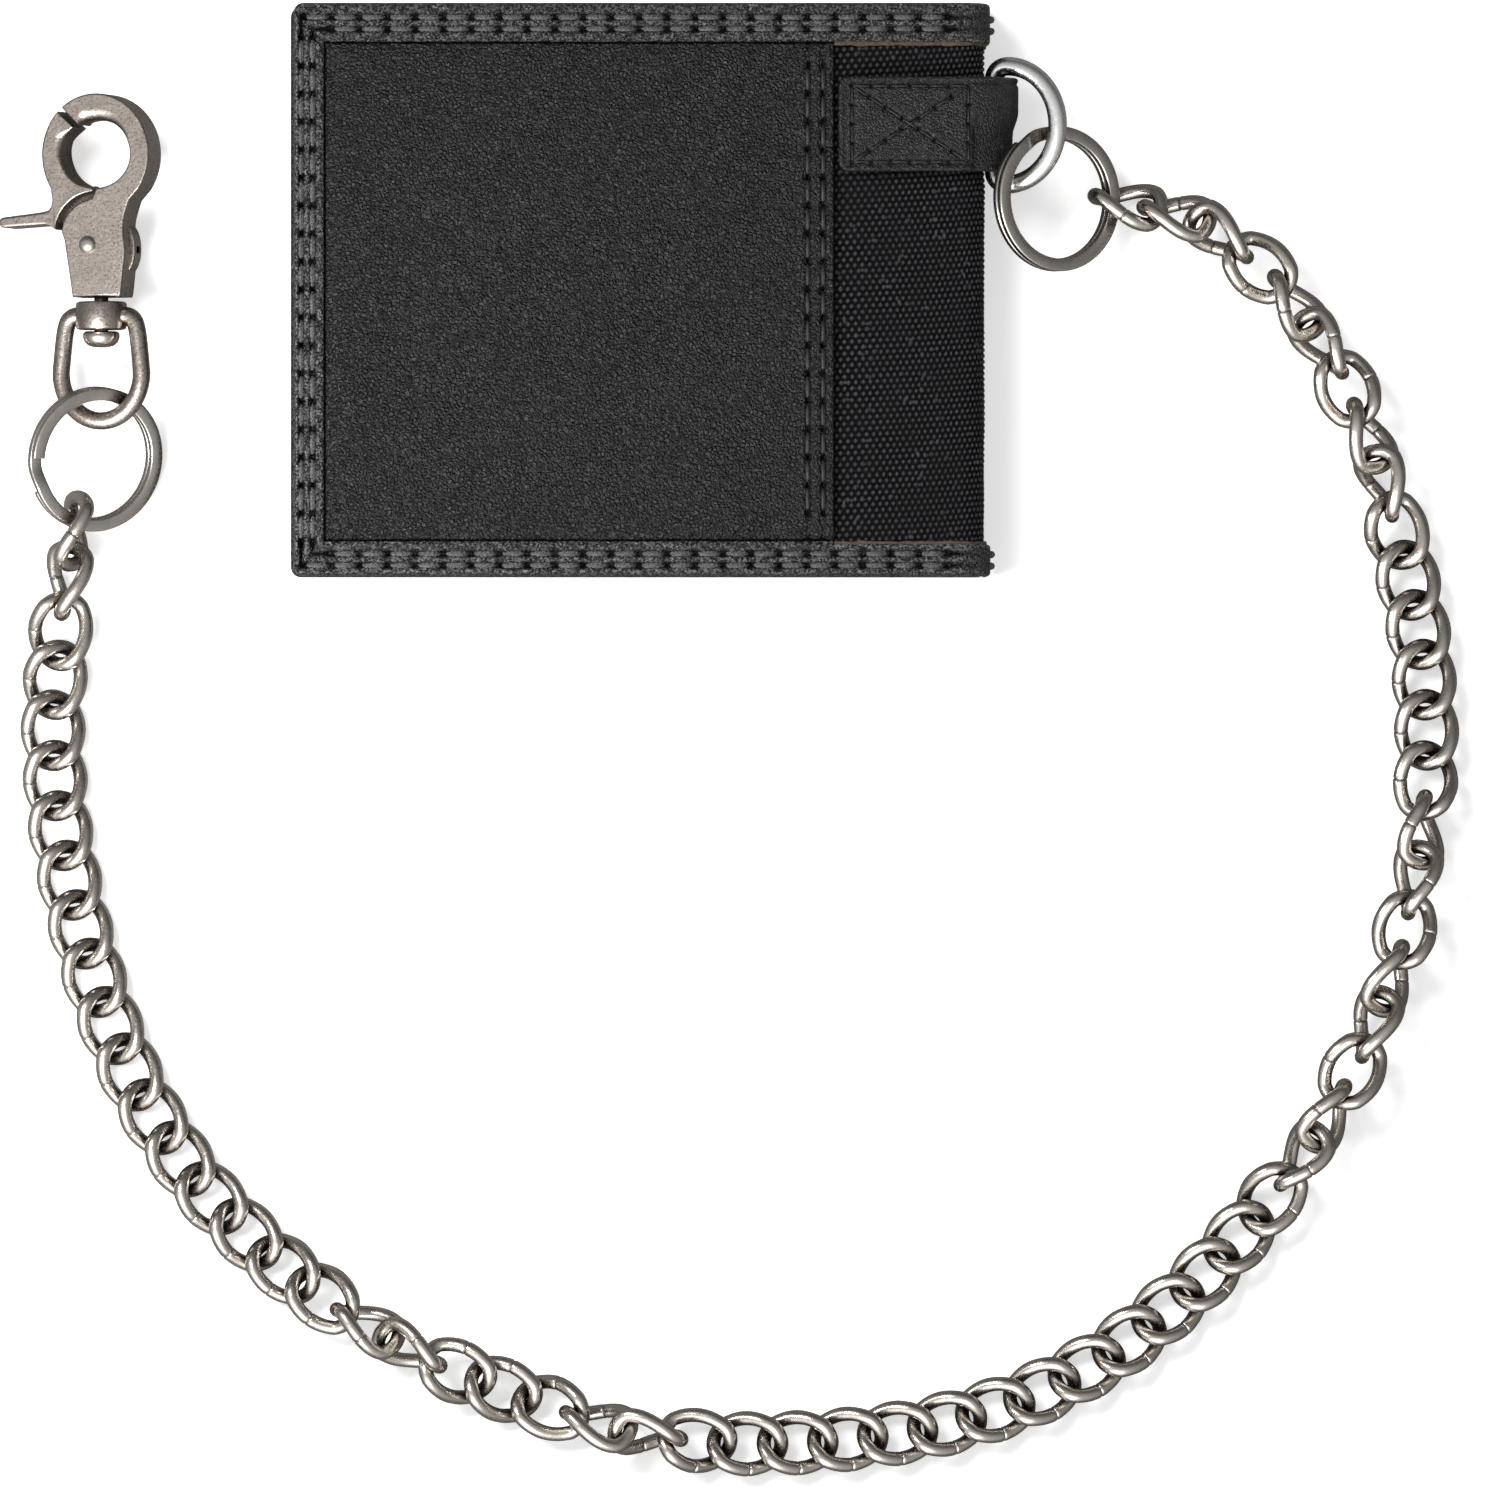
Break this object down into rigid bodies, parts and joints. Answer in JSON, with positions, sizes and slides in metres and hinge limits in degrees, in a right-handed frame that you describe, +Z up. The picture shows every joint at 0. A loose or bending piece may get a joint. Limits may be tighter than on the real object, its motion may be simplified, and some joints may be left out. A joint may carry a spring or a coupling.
{
  "type": "chain wallet",
  "caption": "Closed bifold wallet in black leather with a canvas fold, on a curb chain with a D-ring, split rings and a swivelling trigger snap hook.",
  "frame": {"origin": "centre of the closed wallet's back face, on the table", "axes": "+X towards the folded spine, +Y towards the top edge, +Z up out of the front cover"},
  "size_m": [0.2278, 0.2296, 0.0163],
  "materials": {
    "leather": "black grained leather, semi-gloss",
    "canvas": "coarse charcoal canvas",
    "lining": "smooth black lining cloth",
    "antique_nickel": "antique nickel plate, darkened in the hollows",
    "bright_nickel": "bright nickel plate"
  },
  "bodies": {
    "back_half": {"back_cover": "leather", "back_lining": "lining", "back_inner_panel": "leather", "back_card_pocket_1": "leather", "back_card_pocket_2": "leather", "back_card_pocket_3": "leather", "spine_canvas": "canvas", "spine_band_upper": "leather", "spine_band_lower": "leather", "tab_loop": "leather"},
    "front_half": {"front_frame": "leather", "front_padded_panel": "leather", "front_canvas": "canvas", "front_lining": "lining", "front_inner_panel": "leather", "front_card_pocket_1": "leather", "front_card_pocket_2": "leather", "front_card_pocket_3": "leather", "tab_base": "leather"},
    "d_ring": {"d_ring": "bright_nickel"},
    "split_ring_wallet": {"split_ring_wallet": "antique_nickel"},
    "chain_01": {"chain_links_01_02": "antique_nickel"},
    "chain_02": {"chain_links_03_04": "antique_nickel"},
    "chain_03": {"chain_links_05_06": "antique_nickel"},
    "chain_04": {"chain_links_07_08": "antique_nickel"},
    "chain_05": {"chain_links_09_10": "antique_nickel"},
    "chain_06": {"chain_links_11_12": "antique_nickel"},
    "chain_07": {"chain_links_13_14": "antique_nickel"},
    "chain_08": {"chain_links_15_16": "antique_nickel"},
    "chain_09": {"chain_links_17_18": "antique_nickel"},
    "chain_10": {"chain_links_19_20": "antique_nickel"},
    "chain_11": {"chain_links_21_22": "antique_nickel"},
    "chain_12": {"chain_links_23_24": "antique_nickel"},
    "chain_13": {"chain_links_25_26": "antique_nickel"},
    "chain_14": {"chain_links_27_28": "antique_nickel"},
    "chain_15": {"chain_links_29_30": "antique_nickel"},
    "chain_16": {"chain_links_31_32": "antique_nickel"},
    "chain_17": {"chain_links_33_34": "antique_nickel"},
    "chain_18": {"chain_links_35_36": "antique_nickel"},
    "chain_19": {"chain_links_37_38": "antique_nickel"},
    "chain_20": {"chain_links_39_40": "antique_nickel"},
    "chain_21": {"chain_links_41_42": "antique_nickel"},
    "chain_22": {"chain_links_43_44": "antique_nickel"},
    "chain_23": {"chain_links_45_46": "antique_nickel"},
    "chain_24": {"chain_links_47_48": "antique_nickel"},
    "chain_25": {"chain_links_49_50": "antique_nickel"},
    "chain_26": {"chain_links_51_52": "antique_nickel"},
    "chain_27": {"chain_links_53_54": "antique_nickel"},
    "chain_28": {"chain_links_55_56": "antique_nickel"},
    "chain_29": {"chain_links_57_58": "antique_nickel"},
    "chain_30": {"chain_links_59_60": "antique_nickel"},
    "chain_31": {"chain_links_61_62": "antique_nickel"},
    "split_ring_hook": {"split_ring_hook": "antique_nickel"},
    "swivel_eye": {"swivel_eye": "antique_nickel"},
    "hook": {"hook_body": "antique_nickel", "swivel_post": "antique_nickel", "gate_pin": "antique_nickel", "gate_spring": "bright_nickel"},
    "gate": {"gate": "antique_nickel"}
  },
  "joints": [
    {"name": "wallet_opening", "type": "hinge", "parent": "back_half", "child": "front_half", "pos_m": [0.0532, 0, 0.016], "axis": [0, 1, 0], "range_deg": [0, 180]},
    {"name": "gate_swing", "type": "hinge", "parent": "hook", "child": "gate", "pos_m": [-0.08504, 0.0071, 0.00743], "axis": [-0.309, 0, 0.9511], "range_deg": [0, 35], "stiffness_Nm_per_rad": 0.02},
    {"name": "hook_swivel", "type": "hinge", "parent": "swivel_eye", "child": "hook", "pos_m": [-0.0839, -0.0012, 0.0078], "axis": [0, 1, 0], "continuous": true},
    {"name": "eye_on_split_ring", "type": "hinge", "parent": "split_ring_hook", "child": "swivel_eye", "pos_m": [-0.08418, -0.016, 0.00864], "axis": [-0.866, 0, 0.5], "range_deg": [-20, 20]},
    {"name": "d_ring_in_tab", "type": "hinge", "parent": "back_half", "child": "d_ring", "pos_m": [0.0552, 0.0257, 0.0086], "axis": [0, 1, 0], "range_deg": [-20, 15]},
    {"name": "split_ring_on_d_ring", "type": "hinge", "parent": "d_ring", "child": "split_ring_wallet", "pos_m": [0.06315, 0.01979, 0.01197], "axis": [0.5598, 0.7938, 0.2376], "range_deg": [-10, 10]},
    {"name": "chain_on_wallet_ring", "type": "hinge", "parent": "split_ring_wallet", "child": "chain_01", "pos_m": [0.07229, 0.0146, 0.00441], "axis": [-0.0293, 0.9994, 0.019], "range_deg": [-8, 0]},
    {"name": "chain_joint_01", "type": "hinge", "parent": "chain_01", "child": "chain_02", "pos_m": [0.08756, 0.01105, 0.0059], "axis": [-0.4548, -0.8906, -0.001], "range_deg": [-18, 0]},
    {"name": "chain_joint_02", "type": "hinge", "parent": "chain_02", "child": "chain_03", "pos_m": [0.0998, 0.00124, 0.0059], "axis": [0.326, 0.3769, 0.867], "range_deg": [-18, 0]},
    {"name": "chain_joint_03", "type": "hinge", "parent": "chain_03", "child": "chain_04", "pos_m": [0.10881, -0.01161, 0.0059], "axis": [-0.4534, -0.2085, 0.8666], "range_deg": [-18, 0]},
    {"name": "chain_joint_04", "type": "hinge", "parent": "chain_04", "child": "chain_05", "pos_m": [0.11499, -0.02607, 0.0059], "axis": [0.9568, 0.2907, -0.0045], "range_deg": [-18, 0]},
    {"name": "chain_joint_05", "type": "hinge", "parent": "chain_05", "child": "chain_06", "pos_m": [0.11923, -0.0412, 0.0026], "axis": [-0.9872, -0.1592, 0.008], "range_deg": [-18, 0]},
    {"name": "chain_joint_06", "type": "hinge", "parent": "chain_06", "child": "chain_07", "pos_m": [0.12237, -0.05663, 0.0026], "axis": [0.9925, 0.1224, 0], "range_deg": [-18, 0]},
    {"name": "chain_joint_07", "type": "hinge", "parent": "chain_07", "child": "chain_08", "pos_m": [0.12308, -0.0724, 0.0026], "axis": [-0.9953, 0.0967, -0.0081], "range_deg": [-18, 18]},
    {"name": "chain_joint_08", "type": "hinge", "parent": "chain_08", "child": "chain_09", "pos_m": [0.12176, -0.08807, 0.0059], "axis": [0.9821, -0.1882, 0.0045], "range_deg": [-18, 18]},
    {"name": "chain_joint_09", "type": "hinge", "parent": "chain_09", "child": "chain_10", "pos_m": [0.11852, -0.10343, 0.0059], "axis": [-0.4868, 0.1124, -0.8663], "range_deg": [-18, 10]},
    {"name": "chain_joint_10", "type": "hinge", "parent": "chain_10", "child": "chain_11", "pos_m": [0.11312, -0.1182, 0.0059], "axis": [0.4431, -0.2307, -0.8663], "range_deg": [-18, 8]},
    {"name": "chain_joint_11", "type": "hinge", "parent": "chain_11", "child": "chain_12", "pos_m": [0.10558, -0.13201, 0.0059], "axis": [-0.8202, 0.5721, 0.0045], "range_deg": [-18, 18]},
    {"name": "chain_joint_12", "type": "hinge", "parent": "chain_12", "child": "chain_13", "pos_m": [0.09627, -0.14474, 0.0026], "axis": [0.7237, -0.69, -0.0079], "range_deg": [-18, 18]},
    {"name": "chain_joint_13", "type": "hinge", "parent": "chain_13", "child": "chain_14", "pos_m": [0.08566, -0.1564, 0.0026], "axis": [-0.6857, 0.7279, 0], "range_deg": [-18, 18]},
    {"name": "chain_joint_14", "type": "hinge", "parent": "chain_14", "child": "chain_15", "pos_m": [0.07338, -0.16631, 0.0026], "axis": [0.5471, -0.8371, 0], "range_deg": [-18, 18]},
    {"name": "chain_joint_15", "type": "hinge", "parent": "chain_15", "child": "chain_16", "pos_m": [0.05936, -0.17359, 0.0026], "axis": [-0.3677, 0.9299, 0], "range_deg": [-18, 18]},
    {"name": "chain_joint_16", "type": "hinge", "parent": "chain_16", "child": "chain_17", "pos_m": [0.04419, -0.17786, 0.0026], "axis": [0.196, -0.9806, 0], "range_deg": [-18, 18]},
    {"name": "chain_joint_17", "type": "hinge", "parent": "chain_17", "child": "chain_18", "pos_m": [0.02857, -0.17974, 0.0026], "axis": [-0.0696, 0.9976, 0], "range_deg": [-18, 18]},
    {"name": "chain_joint_18", "type": "hinge", "parent": "chain_18", "child": "chain_19", "pos_m": [0.01288, -0.18004, 0.0026], "axis": [-0.1396, -0.9902, 0.0081], "range_deg": [-18, 18]},
    {"name": "chain_joint_19", "type": "hinge", "parent": "chain_19", "child": "chain_20", "pos_m": [-0.00269, -0.17779, 0.0059], "axis": [0.3048, 0.9524, 0], "range_deg": [-18, 18]},
    {"name": "chain_joint_20", "type": "hinge", "parent": "chain_20", "child": "chain_21", "pos_m": [-0.01772, -0.17311, 0.0026], "axis": [-0.4808, -0.8768, 0], "range_deg": [-18, 18]},
    {"name": "chain_joint_21", "type": "hinge", "parent": "chain_21", "child": "chain_22", "pos_m": [-0.03227, -0.16704, 0.0059], "axis": [0.1374, 0.4864, -0.8629], "range_deg": [-18, 4]},
    {"name": "chain_joint_22", "type": "hinge", "parent": "chain_22", "child": "chain_23", "pos_m": [-0.04608, -0.15951, 0.0059], "axis": [-0.2368, -0.4482, -0.862], "range_deg": [-18, 4]},
    {"name": "chain_joint_23", "type": "hinge", "parent": "chain_23", "child": "chain_24", "pos_m": [-0.05873, -0.15014, 0.0026], "axis": [0.7158, 0.6983, 0.008], "range_deg": [-18, 18]},
    {"name": "chain_joint_24", "type": "hinge", "parent": "chain_24", "child": "chain_25", "pos_m": [-0.06963, -0.13881, 0.0026], "axis": [-0.7847, -0.6199, 0], "range_deg": [-18, 18]},
    {"name": "chain_joint_25", "type": "hinge", "parent": "chain_25", "child": "chain_26", "pos_m": [-0.07814, -0.12557, 0.0026], "axis": [0.8862, 0.4634, 0], "range_deg": [-18, 18]},
    {"name": "chain_joint_26", "type": "hinge", "parent": "chain_26", "child": "chain_27", "pos_m": [-0.08418, -0.11096, 0.0026], "axis": [-0.9455, -0.3257, 0], "range_deg": [-18, 18]},
    {"name": "chain_joint_27", "type": "hinge", "parent": "chain_27", "child": "chain_28", "pos_m": [-0.08839, -0.09581, 0.0026], "axis": [0.9749, 0.2227, 0], "range_deg": [-18, 18]},
    {"name": "chain_joint_28", "type": "hinge", "parent": "chain_28", "child": "chain_29", "pos_m": [-0.09118, -0.08031, 0.0026], "axis": [-0.9939, -0.1099, 0], "range_deg": [-18, 18]},
    {"name": "chain_joint_29", "type": "hinge", "parent": "chain_29", "child": "chain_30", "pos_m": [-0.09185, -0.06457, 0.0026], "axis": [0.993, -0.1177, -0.0081], "range_deg": [-18, 18]},
    {"name": "chain_joint_30", "type": "hinge", "parent": "chain_30", "child": "chain_31", "pos_m": [-0.08993, -0.04898, 0.0059], "axis": [-0.5138, -0.0625, 0.8556], "range_deg": [-18, 18]},
    {"name": "hook_ring_on_chain", "type": "hinge", "parent": "chain_31", "child": "split_ring_hook", "pos_m": [-0.08743, -0.03368, 0.00764], "axis": [0.8078, -0.2895, -0.5134], "range_deg": [-18, 18]}
  ]
}
